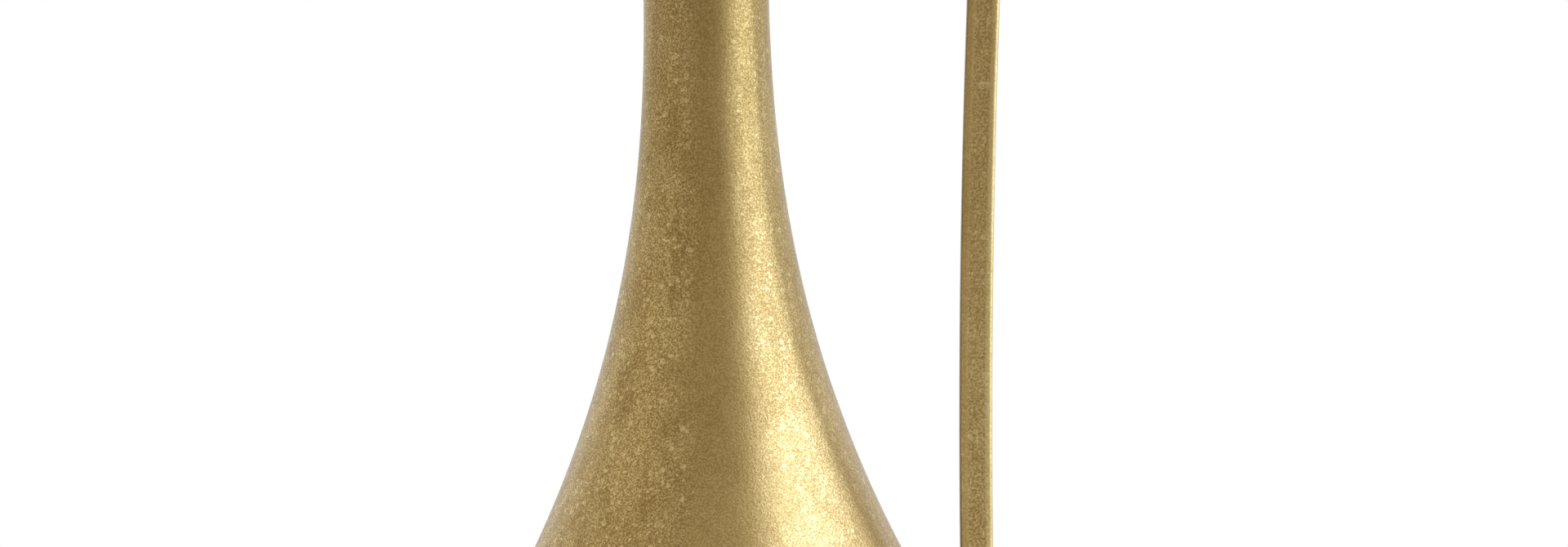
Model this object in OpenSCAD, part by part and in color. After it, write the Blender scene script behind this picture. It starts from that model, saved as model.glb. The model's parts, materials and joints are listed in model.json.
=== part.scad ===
// Tall slender dallah, a brass coffee pot, standing on the origin.
// +Z is up, the handle is on the +X side and the beak spout on the -X side. Millimetres.

/* [Body] */
// Radius of the belly at its widest line
belly_r = 75; // [73:0.5:77]
// Height of the widest line, where the bowl and the neck shell meet
belly_z = 42; // [40:0.5:44]
// Outer radius of the neck at its waist
waist_r = 15.37; // [14.5:0.01:16]
// Height of the waist
waist_z = 248.75; // [246:0.25:252]
// How much wider the neck is one flare_span below the waist
flare_gain = 29.2; // [27:0.1:31]
// Drop over which the neck widens by flare_gain
flare_span = 140; // [136:1:144]
// Power of the flare: 2 is a parabola, more keeps the neck slim for longer
flare_power = 2.36; // [2.2:0.01:2.5]
// Height where the flare hands over to the rounded shoulder
shoulder_z = 102; // [98:1:106]
// Thickness of the brass sheet
wall = 1.5; // [1.2:0.1:1.8]

/* [Foot] */
// Outer radius of the foot ring on the table
foot_r = 61; // [59:0.5:64]
// Height of the foot ring
foot_h = 7; // [6:0.5:8]

/* [Mouth] */
// Outer radius of the cup at the rim
rim_r = 34.5; // [34:0.1:35]
// Height of the rim
rim_z = 310; // [308:0.5:311]
// Radius of the half-round bead under the rim
rim_bead = 2; // [1.8:0.1:2.2]

/* [Spout] */
// How far the tip of the beak reaches from the pot's axis
spout_reach = 98; // [94:1:102]
// Height of the tip above the rim
spout_rise = 15; // [12:1:18]
// Half width of the channel where it leaves the cup
spout_half_w = 15; // [14:0.5:16]
// Half width of the channel at the tip
tip_half_w = 3.6; // [3:0.2:5]

/* [Handle] */
// Width of the bar, seen from the side
bar_w = 8.05; // [7.5:0.05:8.5]
// Width of the bar over the top bend
bar_bend_w = 9.4; // [8.6:0.1:9.8]
// Thickness of the bar, front to back
bar_t = 6; // [5.6:0.1:6.2]
// Distance from the pot's axis to the middle of the bar at its foot
grip_x = 63.6; // [63:0.1:64.5]
// How far the bar leans out between its foot and the top of the grip
grip_lean = 4.35; // [4:0.05:4.7]
// Height of the horizontal run into the hinge bracket
bridge_z = 295; // [294:0.5:296]

/* [Lid] */
// Height of the dome above the rim
dome_h = 30; // [28:0.5:32]
// Gap between the lid's flange and the rim
lid_gap = 0.15; // [0.1:0.05:0.3]
// Height of the whole finial above the dome
finial_h = 36; // [34:1:40]

/* [Hinge] */
// Distance from the pot's axis to the hinge pin
hinge_x = 41; // [41:0.1:41.5]
// Height of the hinge pin above the rim
hinge_rise = 4.5; // [4.4:0.1:4.8]
// Radius of the hinge pin
pin_r = 1.6; // [1.4:0.1:1.8]

/* [Hidden] */
$fn = 96;

brass = [0.66, 0.53, 0.30];
dark_brass = [0.55, 0.43, 0.24];
bright_brass = [0.76, 0.62, 0.36];

film = 0.05;                       // solder film between two soldered pieces
neck_top = waist_z + 5.25;         // upper edge of the neck shell, inside the collar
lap = 5;                           // height of the lap joint at the belly
lap_taper = 0.5;                   // how far its lip leans in
collar_h = 8.8;
spigot_r = waist_r - wall - film;  // tube of the cup that enters the neck
spigot_bore = spigot_r - 1;
spigot_l = 8;
cup_foot_z = neck_top + 5;         // the cup's flare starts here
flange_r = rim_r + 2.1;            // the lid's flange covers the bead
flange_z = rim_z + lid_gap;
sheet_t = 1.5;                     // flange of the lid
dome_t = 1.4;
dome_r = rim_r - 4.3;              // foot of the dome on the flange
dome_top_r = 6;
dome_z = flange_z + sheet_t + dome_h - 1.65;
hinge_z = rim_z + hinge_rise;
knuckle_r = 3.5;
knuckle_half = 2.9;                // half length of the lid's middle knuckle
cheek_in = 3.1;                    // inner face of the bracket's cheeks
cheek_out = 6.1;
running = 0.04;                    // radial clearance of the hinge pin
rivet_r = 1.25;
rivet_fit = 0.03;
stud_r = 1.6;
hex_sides = 6;

// ---- Geometry helpers -------------------------------------------------------------------

function unit(v) = v / norm(v);
function mix(a, b, t) = a + (b - a) * t;
function ease(t) = t * t * (3 - 2 * t);
function reversed(list) = [for (i = [len(list) - 1:-1:0]) list[i]];
function bezier(p, t) =
    pow(1 - t, 3) * p[0] + 3 * pow(1 - t, 2) * t * p[1] + 3 * (1 - t) * t * t * p[2] + pow(t, 3) * p[3];
function curve(p, n) = [for (i = [0:n]) bezier(p, i / n)];
function tail(list) = [for (i = [1:len(list) - 1]) list[i]];
function tangent(path, i) = unit(path[min(i + 1, len(path) - 1)] - path[max(i - 1, 0)]);
// The path moved sideways by d, to the right of the way it runs
function shifted(path, d) = [
    for (i = [0:len(path) - 1]) let (u = tangent(path, i)) path[i] + d * [u[1], -u[0]]
];
function arc(centre, r, from, to, n) = [
    for (i = [0:n]) let (a = mix(from, to, i / n)) centre + r * [cos(a), sin(a)]
];

// A solid through closed rings with the same number of points. cap lists the faces of a ring.
module loft(rings, cap) {
    n = len(rings[0]);
    last = (len(rings) - 1) * n;
    sides = [
        for (i = [0:len(rings) - 2], j = [0:n - 1]) let (a = i * n, k = (j + 1) % n)
            each [[a + j, a + n + j, a + n + k], [a + j, a + n + k, a + k]]
    ];
    ends = [for (face = cap) each [face, [for (j = reversed(face)) last + j]]];
    polyhedron([for (ring = rings) each ring], concat(sides, ends));
}

// Radius of an outline at a height
function radius_at(path, z) = lookup(z, [for (p = path) [p[1], p[0]]]);

// Puts a child on the wall that an outline makes: its +Z points straight out of the wall
module on_wall(path, z, azimuth) {
    lean = atan(radius_at(path, z + 0.5) - radius_at(path, z - 0.5));
    rotate([0, 0, azimuth]) translate([radius_at(path, z), 0, z]) rotate([0, 90 + lean, 0]) children();
}

// Rivet with a domed head above z = 0 and a flat peened tail below -grip
module rivet(grip, head_r = 2.1, head_h = 1.1, tail_h = 0.5) {
    dome = [for (i = [0:6]) [head_r * cos(i * 15), head_h * sin(i * 15)]];
    tail_pts = tail_h > 0 ? [[head_r * 0.85, -grip - tail_h], [head_r * 0.85, -grip]] : [];
    rotate_extrude()
        polygon(concat([[0, -grip - tail_h]], tail_pts, [[rivet_r, -grip], [rivet_r, 0]], dome));
}

module rivet_hole(depth) {
    translate([0, 0, -depth]) cylinder(r = rivet_r + rivet_fit, h = 2 * depth);
}

// A plate outlined in X and Z, between y = from and y = to
module side_plate(points, from, to) {
    translate([0, to, 0]) rotate([90, 0, 0]) linear_extrude(to - from) polygon(points);
}

module pin_along_y(r, half) {
    rotate([90, 0, 0]) cylinder(r = r, h = 2 * half, center = true);
}

// ---- Outlines of the pot, as [radius, height] ----------------------------------------------

function flare_r(z) = waist_r + flare_gain * pow(max(waist_z - z, 0) / flare_span, flare_power);
function flare_slope(z) =
    flare_gain * flare_power / flare_span * pow((waist_z - z) / flare_span, flare_power - 1);

shoulder_path = curve([
    [belly_r, belly_z],
    [belly_r, belly_z + 16],
    [flare_r(shoulder_z) + 34 * flare_slope(shoulder_z), shoulder_z - 34],
    [flare_r(shoulder_z), shoulder_z]
], 20);
flare_path = [
    for (i = [1:34]) let (z = mix(shoulder_z, waist_z, i / 34)) [flare_r(z), z]
];
neck_path = concat(shoulder_path, flare_path, [[waist_r, neck_top]]);

bowl_path = concat(
    [[0, foot_h + 1.5], [46, foot_h + 1.5], [50, foot_h]],
    curve([[55, foot_h], [67, 10], [belly_r, belly_z - 16], [belly_r, belly_z]], 18)
);

cup_flare = curve([
    [waist_r, cup_foot_z],
    [waist_r, cup_foot_z + 14],
    [rim_r - 6, rim_z - 22],
    [rim_r, rim_z]
], 22);
cup_path = concat([[waist_r, neck_top]], cup_flare);
cup_inner = [for (p = shifted(cup_flare, -wall)) [p[0], min(p[1], rim_z)]];

dome_path = concat(
    curve([[dome_r, flange_z + sheet_t], [dome_r, flange_z + 8], [dome_r - 4.5, flange_z + 13],
           [dome_r - 12, flange_z + 16.5]], 10),
    tail(curve([[dome_r - 12, flange_z + 16.5], [dome_r - 18.5, flange_z + 19.6],
                [dome_top_r + 0.8, dome_z - 8], [dome_top_r, dome_z]], 10))
);

// ---- Pot --------------------------------------------------------------------------------

module foot_ring() {
    color(brass) rotate_extrude() polygon(concat(
        [[51, 0], [51, foot_h], [55, foot_h]],
        curve([[55.6, foot_h - 0.3], [56, foot_h - 3], [57.5, 3.4], [foot_r - 0.8, 2.9]], 6),
        [[foot_r, 2.2], [foot_r, 0.7], [foot_r - 0.6, 0]]
    ));
}

module belly_bowl() {
    lip_r = belly_r - wall - 0.55;
    inner = [for (p = shifted(bowl_path, -wall)) if (p[1] < belly_z - 3) p];
    color(brass) rotate_extrude() polygon(concat(
        bowl_path,
        [[lip_r, belly_z], [lip_r - lap_taper, belly_z + lap]],
        [[lip_r - lap_taper - wall, belly_z + lap], [lip_r - wall, belly_z]],
        reversed(inner)
    ));
}

module neck_shell() {
    inner = [for (p = shifted(neck_path, -wall)) if (p[1] > belly_z + 0.5) p];
    color(brass) difference() {
        rotate_extrude() polygon(concat(neck_path, reversed(inner), [[belly_r - wall, belly_z]]));
        saddle_rivet_places() rivet_hole(6);
    }
}

module waist_collar() {
    half = collar_h / 2;
    mid = [waist_r + 1.4, neck_top];
    upper = [[waist_r + 1.5, half - 1.6], [waist_r + 1.5, half - 0.7], [waist_r + 0.7, half]];
    color(bright_brass) rotate_extrude() polygon(concat(
        [[waist_r + film, neck_top + half], [waist_r + film, neck_top - half]],
        [for (p = reversed(upper)) [p[0], neck_top - p[1]]],
        arc(mid, 2.4, -75, 75, 10),
        [for (p = upper) [p[0], neck_top + p[1]]]
    ));
}

module cup_revolve() {
    rotate_extrude() polygon(concat(
        [[spigot_r, neck_top - spigot_l], [spigot_r, neck_top]],
        cup_path,
        reversed(cup_inner),
        [[spigot_bore, cup_foot_z - 2.5], [spigot_bore, neck_top - spigot_l]]
    ));
}

// Everything inside the cup's outer face, for cutting what is soldered onto it
module cup_block() {
    rotate_extrude() polygon(concat([[0, neck_top]], cup_path, [[0, rim_z]]));
}

window_low = 276;
window_high = 299;
module spout_window(grow) {
    outline = concat(
        arc([0, window_low + 4], 4 + grow, 180, 360, 12),
        arc([6, window_high - 2.5], 2.5 + grow, 0, 90, 6),
        arc([-6, window_high - 2.5], 2.5 + grow, 90, 180, 6)
    );
    rotate([90, 0, -90]) linear_extrude(60) polygon(outline);
}

module mouth_cup() {
    color(brass) difference() {
        cup_revolve();
        spout_window(0);
        bracket_rivet_places() rivet_hole(6);
    }
}

module rim_bead() {
    mid = [rim_r + 0.5, rim_z - rim_bead];
    color(bright_brass) rotate_extrude() polygon(concat(
        [for (i = [1:3]) cup_path[len(cup_path) - i] + [film, 0]],
        arc(mid, rim_bead, -90, 90, 14)
    ));
}

// ---- Spout ------------------------------------------------------------------------------

spout_steps = 26;
spout_sides = 16;
beak_keel = [[-11, 261.5], [-43, 262], [-66, 283], [2.5 - spout_reach, rim_z + spout_rise - 6.5]];
beak_top = [[-11, 305.6], [-44, 302.5], [-74, 307], [-spout_reach, rim_z + spout_rise]];

function beak_half(s) = mix(spout_half_w, tip_half_w, pow(s, 0.85));
// Half an ellipse that hangs between the two top edges, thinner all round by inset
function beak_section(s, inset) = let (
        top = bezier(beak_top, s),
        drop = bezier(beak_keel, s) - top,
        low = drop * (1 - inset / norm(drop)),
        half = beak_half(s) - inset
    ) [for (j = [0:spout_sides]) let (a = 180 * j / spout_sides)
        [top[0] + low[0] * sin(a), half * cos(a), top[1] + low[1] * sin(a)]];

module spout_beak() {
    n = spout_sides;
    rings = [for (i = [0:spout_steps]) let (s = i / spout_steps)
        concat(beak_section(s, 0), reversed(beak_section(s, wall)))];
    cap = [for (j = [0:n - 1]) [j, j + 1, 2 * n - j, 2 * n + 1 - j]];
    color(brass) difference() {
        loft(rings, cap);
        cup_block();
    }
}

// Half-round wires soldered along both top edges of the beak
wire_r = 1.3;
wire_start = 0.28;
module spout_edge_wires() {
    steps = 16;
    rings = [for (i = [0:steps]) let (
            s = mix(wire_start, 1, i / steps),
            top = bezier(beak_top, s),
            ahead = unit(bezier(beak_top, min(s + 0.01, 1)) - bezier(beak_top, s - 0.01)),
            up = [-ahead[1], ahead[0]] * -1,
            middle = beak_half(s) - wall / 2
        ) [for (j = [0:8]) let (a = 22.5 * j, lift = wire_r * sin(a) + film)
            [top[0] + up[0] * lift, middle + wire_r * cos(a), top[1] + up[1] * lift]]];
    fan = [[for (j = [0:8]) j]];
    color(bright_brass) {
        loft(rings, fan);
        mirror([0, 1, 0]) loft(rings, fan);
    }
}

module strainer() {
    band = [for (p = cup_inner) if (p[1] > window_low - 5 && p[1] < window_high + 4) p];
    color(dark_brass) difference() {
        intersection() {
            rotate_extrude() polygon(concat(shifted(band, -film), reversed(shifted(band, -film - 0.8))));
            spout_window(1.8);
        }
        for (row = [0:6], column = [-3:3]) let (y = 2.3 * (column + (row % 2) / 2), z = window_low + 1.5 + 3 * row)
            if (abs(y) < 2.5 + 0.75 * row && abs(y) < 7.2)
                translate([-60, y, z]) rotate([0, 90, 0]) cylinder(r = 0.75, h = 60, $fn = 24);
    }
}

// ---- Hinge bracket and handle ------------------------------------------------------------

saddle_t = 2;
module bracket_rivet_places() {
    for (side = [-1, 1]) {
        on_wall(cup_path, 288.6, side * 17.7) children();
        on_wall(cup_path, 300.6, side * 14.9) children();
    }
}

module hinge_bracket() {
    band = [for (p = cup_path) if (p[1] > 283 && p[1] < rim_z - 4.5) p];
    cheek = concat(
        [[28, 286], [40, 287.5]],
        arc([45.5, 291.5], 4.5, -60, 0, 6),
        [[50, 298]],
        arc([46, 300], 4, 0, 60, 5),
        arc([hinge_x, hinge_z], knuckle_r, -10, 190, 24),
        [[37.5, 304], [30, 304]]
    );
    color(brass) difference() {
        union() {
            intersection() {
                rotate_extrude() polygon(concat(shifted(band, saddle_t), reversed(band)));
                translate([20, -11.5, 280]) cube([20, 23, 40]);
            }
            for (side = [0, 1]) mirror([0, side, 0]) side_plate(cheek, cheek_in, cheek_out);
        }
        cup_block();
        translate([hinge_x, 0, hinge_z]) pin_along_y(pin_r + rivet_fit, 10);
        for (x = handle_top_rivet_x) translate([x, 0, bridge_z]) pin_along_y(rivet_r + rivet_fit, 10);
        bracket_rivet_places() rivet_hole(6);
    }
}

module hinge_bracket_rivets() {
    color(bright_brass) bracket_rivet_places()
        translate([0, 0, saddle_t + 0.12]) rivet(saddle_t + wall + 0.35);
}

module hinge_pin() {
    color(bright_brass) translate([hinge_x, 0, hinge_z]) {
        pin_along_y(pin_r, cheek_out + 0.1);
        for (side = [0, 1]) mirror([0, side, 0]) translate([0, -cheek_out - 0.1, 0]) rotate([90, 0, 0])
            rotate_extrude() polygon(concat([[0, 0]], [for (i = [0:6]) [2.5 * cos(15 * i), 1.1 * sin(15 * i)]]));
    }
}

// Middle line of the bar in X and Z, from the saddle on the shoulder to the hinge bracket
grip_foot = [grip_x, 85];
grip_top = [grip_x + grip_lean, waist_z - 6.75];
grip_bow = [grip_x, (grip_foot[1] + grip_top[1]) / 2];
grip_slope = (grip_top - grip_bow) / norm(grip_top - grip_bow);
shank_path = concat(
    [for (i = [0:20]) let (t = i / 20)
        (1 - t) * (1 - t) * grip_foot + 2 * t * (1 - t) * grip_bow + t * t * grip_top],
    tail(curve([grip_top, grip_top + 9 * grip_slope, [grip_x + 7.9, 257], [grip_x + 7.9, 266]], 8)),
    tail(curve([[grip_x + 7.9, 266], [grip_x + 7.9, 284], [63, bridge_z], [50, bridge_z]], 18)),
    [[44, bridge_z], [34.2, bridge_z]]
);
grip_end_i = 20;
bend_end_i = 46;
function bar_width(i) =
    i < grip_end_i - 3 ? bar_w :
    i < bend_end_i - 8 ? mix(bar_w, bar_bend_w, ease((i - grip_end_i + 3) / (bend_end_i - grip_end_i - 5))) :
    mix(bar_bend_w, bar_w, ease(min((i - bend_end_i + 8) / 8, 1)));
bar_chamfer = 0.9;
function bar_section(w) = let (a = w / 2, b = bar_t / 2, c = bar_chamfer) [
    [a, -b + c], [a, b - c], [a - c, b], [-a + c, b], [-a, b - c], [-a, -b + c], [-a + c, -b], [a - c, -b]
];

// Face that the bar stands on: the outer face of the saddle on the shoulder
land = [63.45, 73.9];
land_tilt = 29.2;
land_out = [cos(land_tilt), sin(land_tilt)];
saddle_gap = saddle_t + 0.35;
function land_z(x) = (land + saddle_gap * land_out)[1]
    - (x - (land + saddle_gap * land_out)[0]) * land_out[0] / land_out[1];

module handle() {
    rings = concat(
        [[for (q = bar_section(bar_w)) let (x = grip_x + q[0]) [x, -q[1], land_z(x)]]],
        [for (i = [1:len(shank_path) - 1]) let (u = tangent(shank_path, i), side = [u[1], -u[0]])
            [for (q = bar_section(bar_width(i)))
                [shank_path[i][0] + side[0] * q[0], -q[1], shank_path[i][1] + side[1] * q[0]]]]
    );
    color(brass) difference() {
        loft(rings, [[for (j = [0:7]) j]]);
        for (x = handle_top_rivet_x) translate([x, 0, bridge_z]) pin_along_y(rivet_r + rivet_fit, 10);
        for (z = handle_foot_rivet_z) translate([grip_x, 0, z]) pin_along_y(rivet_r + rivet_fit, 10);
    }
}

handle_top_rivet_x = [38, 45];
handle_foot_rivet_z = [86, 94];

// A rivet across the two cheeks, with a domed head on each side
module cross_rivet(half) {
    rotate([90, 0, 0]) rotate_extrude() polygon(concat(
        [for (i = [0:6]) [2.3 * sin(15 * i), -half - 1.2 * cos(15 * i)]],
        [[rivet_r, -half], [rivet_r, half]],
        [for (i = [6:-1:0]) [2.3 * sin(15 * i), half + 1.2 * cos(15 * i)]]
    ));
}

module handle_top_rivets() {
    color(bright_brass) for (x = handle_top_rivet_x)
        translate([x, 0, bridge_z]) cross_rivet(cheek_out + film);
}

module handle_foot_rivets() {
    color(bright_brass) for (z = handle_foot_rivet_z)
        translate([grip_x, 0, z]) cross_rivet(foot_cheek_out + film);
}

foot_cheek_out = 5.6;
module saddle_rivet_places() {
    for (side = [-1, 1]) {
        on_wall(neck_path, 84.5, side * 8.6) children();
        on_wall(neck_path, 63.1, side * 6.8) children();
    }
}

module shoulder_block() {
    rotate_extrude() polygon(concat([[0, belly_z]], [for (p = neck_path) if (p[1] < 130) p], [[0, 130]]));
}

module handle_saddle() {
    band = [for (p = neck_path) if (p[1] > 48 && p[1] < 106) p];
    leaf = concat(
        arc([14, 0], 11.5, -60, 60, 12),
        arc([-10, 0], 12.5, 118, 242, 12)
    );
    half = bar_w / 2 - 0.1;
    cheek = concat(
        [[56, 78], [72, 56], [72.5, 64], [grip_x + half, 76]],
        arc([grip_x, 95.5], half, 0, 180, 14),
        [[grip_x - half, 88]]
    );
    color(brass) difference() {
        union() {
            intersection() {
                rotate_extrude() polygon(concat(shifted(band, saddle_t), reversed(band)));
                translate([land[0], 0, land[1]]) rotate([0, 90 - land_tilt, 0]) rotate([0, 0, 180])
                    translate([0, 0, -6]) linear_extrude(14) polygon(leaf);
            }
            for (side = [0, 1]) mirror([0, side, 0]) side_plate(cheek, cheek_in, foot_cheek_out);
        }
        shoulder_block();
        for (z = handle_foot_rivet_z) translate([grip_x, 0, z]) pin_along_y(rivet_r + rivet_fit, 10);
        saddle_rivet_places() rivet_hole(6);
    }
}

module handle_saddle_rivets() {
    color(bright_brass) saddle_rivet_places()
        translate([0, 0, saddle_t + 0.1]) rivet(saddle_t + wall + 0.3);
}

// ---- Lid --------------------------------------------------------------------------------

module lid_dome() {
    color(brass) difference() {
        rotate_extrude() polygon(concat(
            [[dome_r - dome_t, flange_z], [flange_r - 0.3, flange_z], [flange_r, flange_z + 0.3],
             [flange_r, flange_z + sheet_t - 0.4], [flange_r - 0.4, flange_z + sheet_t]],
            dome_path,
            [[stud_r + 0.05, dome_z], [stud_r + 0.05, dome_z - dome_t]],
            [for (p = reversed(shifted(dome_path, -dome_t))) [p[0], min(p[1], dome_z - dome_t)]]
        ));
        leaf_rivet_places() rivet_hole(4);
    }
}

module lid_collar() {
    outer = dome_r + 0.4;
    color(brass) rotate_extrude() polygon([
        [outer, flange_z], [outer, rim_z - 4], [outer - 0.4, rim_z - 4.4],
        [outer - 1, rim_z - 4.4], [outer - 1, flange_z]
    ]);
}

leaf_z = flange_z + sheet_t + 0.02;
leaf_t = 1.7;
leaf_end = flange_r + 0.1;
module leaf_rivet_places() {
    for (side = [-1, 1]) translate([33.4, 5.6 * side, leaf_z + leaf_t + 0.02]) children();
}

module lid_hinge_leaf() {
    plate = [[31.4, -7], [32.6, -8.2], [leaf_end, -8.2], [leaf_end, 8.2], [32.6, 8.2], [31.4, 7]];
    web = [[leaf_end - 2, leaf_z], [leaf_end + 0.6, leaf_z], [hinge_x - 1, hinge_z - knuckle_r + 0.2],
           [hinge_x, hinge_z], [hinge_x - 2, hinge_z + 2.5], [leaf_end - 1, leaf_z + leaf_t],
           [leaf_end - 2, leaf_z + leaf_t]];
    color(bright_brass) difference() {
        union() {
            translate([0, 0, leaf_z]) linear_extrude(leaf_t) polygon(plate);
            side_plate(web, -knuckle_half, knuckle_half);
            translate([hinge_x, 0, hinge_z]) pin_along_y(knuckle_r, knuckle_half);
        }
        translate([hinge_x, 0, hinge_z]) pin_along_y(pin_r + running, 10);
        leaf_rivet_places() rivet_hole(4);
    }
}

module lid_leaf_rivets() {
    color(bright_brass) leaf_rivet_places() rivet(leaf_t + sheet_t + 0.04, 2, 1.1, 0);
}

// Horn that the thumb presses, standing on the leaf and over the middle knuckle
module thumb_piece() {
    seat = leaf_z + leaf_t + 0.02;
    pivot = [hinge_x, hinge_z];
    horn = concat(
        [[33.2, seat], [leaf_end - 1, seat]],
        arc(pivot, knuckle_r + film, 160, 70, 10),
        tail(curve([pivot + [2.6, 4.2], pivot + [3.2, 9], pivot + [5, 14], pivot + [10.5, 19.5]], 10)),
        arc(pivot + [9.6, 20.6], 1.5, -40, 130, 8),
        tail(curve([pivot + [8.6, 21.7], pivot + [2, 16], pivot + [-1.5, 10.5], pivot + [-4, 5.5]], 10)),
        [[33.2, seat + 1.2]]
    );
    color(bright_brass) side_plate(horn, -2.5, 2.5);
}

// ---- Finial -----------------------------------------------------------------------------

base_h = 0.09 * finial_h;
bulb_h = 0.34 * finial_h;
bulb_z = dome_z + base_h;
spire_z = bulb_z + bulb_h;
spire_h = finial_h - base_h - bulb_h;
bore_r = stud_r + 0.05;

module finial_base() {
    color(bright_brass) rotate_extrude() polygon(concat(
        [[bore_r, dome_z], [dome_top_r, dome_z]],
        arc([dome_top_r + 0.4, dome_z + base_h / 2], base_h / 2, -90, 90, 10),
        [[4.4, bulb_z], [bore_r, bulb_z]]
    ));
}

module finial_bulb() {
    side = curve([[3.4, bulb_z], [9.6, bulb_z + 0.26 * bulb_h], [7.6, bulb_z + 0.86 * bulb_h], [2.9, spire_z]], 18);
    color(brass) rotate_extrude() polygon(concat([[bore_r, bulb_z]], side, [[bore_r, spire_z]]));
}

module finial_spire() {
    bead = arc([2.7, spire_z + 1.4], 1.4, -80, 70, 8);
    side = curve([[2.9, spire_z + 2.9], [2.6, spire_z + 8], [1.5, spire_z + 13], [1.3, spire_z + spire_h - 2.6]], 10);
    tip = arc([0, spire_z + spire_h - 1.7], 1.7, -40, 90, 10);
    color(bright_brass) rotate_extrude() polygon(concat(
        [[0, spire_z + 5], [bore_r, spire_z + 5], [bore_r, spire_z], [2.9, spire_z]],
        bead, side, tip
    ));
}

module finial_stud() {
    color(dark_brass) translate([0, 0, dome_z - 7]) cylinder(r = stud_r, h = 7 + base_h + bulb_h + 4.8);
}

module finial_washer() {
    color(dark_brass) translate([0, 0, dome_z - dome_t - 0.85]) difference() {
        cylinder(r = 4, h = 0.8);
        translate([0, 0, -1]) cylinder(r = bore_r, h = 3);
    }
}

module finial_nut() {
    color(dark_brass) translate([0, 0, dome_z - dome_t - 3.4]) difference() {
        cylinder(r = 3.6, h = 2.5, $fn = hex_sides);
        translate([0, 0, -1]) cylinder(r = stud_r + 0.02, h = 5);
    }
}

foot_ring();
belly_bowl();
neck_shell();
waist_collar();
mouth_cup();
rim_bead();
spout_beak();
spout_edge_wires();
strainer();
hinge_bracket();
hinge_bracket_rivets();
hinge_pin();
handle();
handle_top_rivets();
handle_saddle();
handle_saddle_rivets();
handle_foot_rivets();
lid_dome();
lid_collar();
lid_hinge_leaf();
lid_leaf_rivets();
thumb_piece();
finial_base();
finial_bulb();
finial_spire();
finial_stud();
finial_washer();
finial_nut();
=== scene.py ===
"""Looks of the tall dallah coffee pot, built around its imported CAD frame.

Shapes are worked out in millimetres, in the frame of the CAD model: +Z up, handle towards +X,
spout towards -X, origin at the centre of the foot. mesh_piece() turns them into metres.
"""

import json
import math

import bmesh
import bpy
import numpy as np
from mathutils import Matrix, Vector, noise
from mathutils.bvhtree import BVHTree


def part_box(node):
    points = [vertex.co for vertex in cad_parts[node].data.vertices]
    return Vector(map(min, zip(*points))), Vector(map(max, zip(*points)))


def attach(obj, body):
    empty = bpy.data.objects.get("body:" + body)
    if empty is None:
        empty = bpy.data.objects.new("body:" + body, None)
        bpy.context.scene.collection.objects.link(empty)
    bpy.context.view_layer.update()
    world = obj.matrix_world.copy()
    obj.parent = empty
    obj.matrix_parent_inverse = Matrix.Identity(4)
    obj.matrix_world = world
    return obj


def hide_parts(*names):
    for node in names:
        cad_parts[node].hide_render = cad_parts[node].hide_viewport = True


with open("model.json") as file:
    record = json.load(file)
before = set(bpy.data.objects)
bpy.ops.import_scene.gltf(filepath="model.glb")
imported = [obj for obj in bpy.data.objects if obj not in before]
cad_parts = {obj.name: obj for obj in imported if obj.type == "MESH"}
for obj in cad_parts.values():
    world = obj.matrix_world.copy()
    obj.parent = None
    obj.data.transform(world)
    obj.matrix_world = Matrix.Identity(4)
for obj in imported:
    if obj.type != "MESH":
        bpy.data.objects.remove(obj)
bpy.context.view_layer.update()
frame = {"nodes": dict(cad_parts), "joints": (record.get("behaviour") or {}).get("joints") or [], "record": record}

MM = 0.001
TINY = 1e-6
POT, LID = "pot", "lid"


def box_mm(node):
    """Lowest and highest corner of a CAD node, in millimetres."""
    low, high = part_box(node)
    return low / MM, high / MM


def span_z(node):
    """Lowest and highest Z of a CAD node, in millimetres."""
    return [corner.z for corner in box_mm(node)]


# ---- Camera --------------------------------------------------------------------------------

VIEW_WIDTH = 384.0          # what the frame takes in at the pot's axis
VIEW_CENTRE = (17.8, 174.7)  # X and Z that the lens points at
ROLL = 1.07                 # degrees, so that the pot leans to the left
LENS, SENSOR = 100.0, 36.0


def make_camera():
    data = bpy.data.cameras.new("camera")
    data.lens = LENS
    data.sensor_width = SENSOR
    data.clip_start = 0.01
    data.clip_end = 50
    camera = bpy.data.objects.new("camera", data)
    distance = VIEW_WIDTH * LENS / SENSOR
    camera.location = Vector((VIEW_CENTRE[0], -distance, VIEW_CENTRE[1])) * MM
    camera.rotation_euler = (math.radians(90), math.radians(ROLL), 0)
    bpy.context.scene.collection.objects.link(camera)
    bpy.context.scene.camera = camera


make_camera()


# ---- Curves and outlines, as lists of (x, y) or (radius, height) ------------------------------

def lerp(a, b, t):
    return a + (b - a) * t


def curve_point(p, t):
    """The point at t, from 0 to 1, of the cubic curve with the four control points p."""
    return (1 - t) ** 3 * p[0] + 3 * (1 - t) ** 2 * t * p[1] + 3 * (1 - t) * t * t * p[2] + t**3 * p[3]


def bezier(p, n):
    """n + 1 points along the cubic curve with the four control points p."""
    at = curve_point(np.array(p, float), np.linspace(0, 1, n + 1)[:, None])
    return [tuple(q) for q in at]


def arc(centre, radius, start, end, n=12):
    angles = np.radians(np.linspace(start, end, n + 1))
    return [(centre[0] + radius * math.cos(a), centre[1] + radius * math.sin(a)) for a in angles]


def shifted(path, distance):
    """The open path moved sideways, to the right of the way it runs."""
    p = np.array(path, float)
    run = np.gradient(p, axis=0)
    run /= np.linalg.norm(run, axis=1)[:, None]
    return [tuple(q) for q in p + distance * np.stack([run[:, 1], -run[:, 0]], 1)]


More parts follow.
